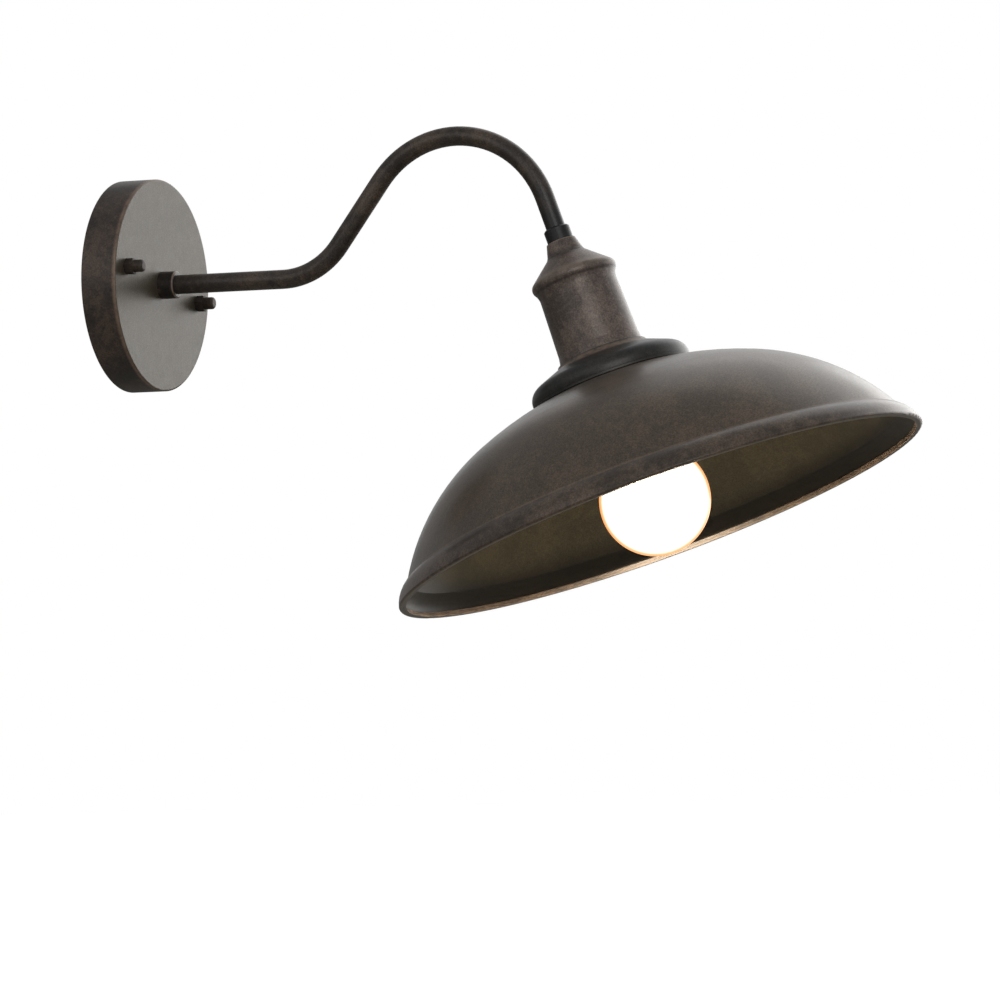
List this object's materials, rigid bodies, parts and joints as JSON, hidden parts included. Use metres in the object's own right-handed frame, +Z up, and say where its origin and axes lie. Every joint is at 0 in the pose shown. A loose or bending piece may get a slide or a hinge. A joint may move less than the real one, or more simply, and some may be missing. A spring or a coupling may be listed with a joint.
{
  "type": "gooseneck wall sconce",
  "caption": "Gooseneck wall sconce: round canopy, S-curved tube arm, stepped socket cup and a shallow dome shade over a screw-in bulb.",
  "frame": {"origin": "centre of the canopy's open back, on the wall, midway between the two box-screw slots", "axes": "+Y into the wall, so the light stands out along -Y; +Z up; the arm lies in the plane x = 0"},
  "size_m": [0.302, 0.465, 0.2718],
  "materials": {
    "bronze": "oil-rubbed bronze lacquer, satin, mottled, with lighter rubbed edges",
    "dark_bronze": "blackened bronze lacquer, satin",
    "zinc_steel": "zinc-plated steel",
    "earth_green": "green dyed screw",
    "brass": "plain brass",
    "phenolic": "black moulded phenolic",
    "live_insulation": "black wire insulation",
    "neutral_insulation": "white wire insulation",
    "connector_plastic": "orange moulded connector",
    "bulb_glass": "frosted glass, lit warm white",
    "clear_glass": "clear glass",
    "base_aluminium": "bright aluminium screw base",
    "vitrite": "black glass button",
    "tungsten": "tungsten wire"
  },
  "bodies": {
    "crossbar": {"wall_strap": "zinc_steel", "ground_screw": "earth_green", "pivot_eyelet": "brass"},
    "fixture": {"swivel_strap": "zinc_steel", "canopy_studs": "zinc_steel", "stud_nuts": "zinc_steel", "canopy": "bronze", "cap_nuts": "dark_bronze", "base_collar": "bronze", "root_nipple": "zinc_steel", "root_washer": "zinc_steel", "root_locknut": "zinc_steel", "arm_tube": "dark_bronze", "arm_collar": "dark_bronze", "neck_nipple": "zinc_steel", "neck_locknut": "zinc_steel", "live_lead": "live_insulation", "neutral_lead": "neutral_insulation", "wire_connectors": "connector_plastic", "socket_cup": "bronze", "fitter_flange": "bronze", "shade": "bronze", "shade_ring": "phenolic", "socket_cap": "phenolic", "socket_body": "phenolic", "terminal_plates": "brass", "terminal_screws": "brass", "screw_shell": "brass", "contact_tongue": "brass"},
    "bulb_tip": {"bulb_contact": "zinc_steel", "bulb_insulator": "vitrite"},
    "bulb": {"bulb_globe": "bulb_glass", "bulb_shell": "base_aluminium", "bulb_stem": "clear_glass", "filament": "tungsten"}
  },
  "joints": [
    {"name": "level_swivel", "type": "hinge", "parent": "crossbar", "child": "fixture", "pos_m": [0, 0, 0], "axis": [0, 1, 0], "range_deg": [-60, 60]},
    {"name": "bulb_travel", "type": "slide", "parent": "fixture", "child": "bulb_tip", "axis": [0, -0.342, -0.9397], "range_m": [0, 0.0145]},
    {"name": "bulb_turn", "type": "hinge", "parent": "bulb_tip", "child": "bulb", "pos_m": [0, -0.26155, 0.0205], "axis": [0, -0.342, -0.9397], "range_deg": [0, 1440]}
  ],
  "couplings": [
    {"joint": "bulb_turn", "follows": "bulb_travel", "rad_per_m": 1731.4}
  ]
}
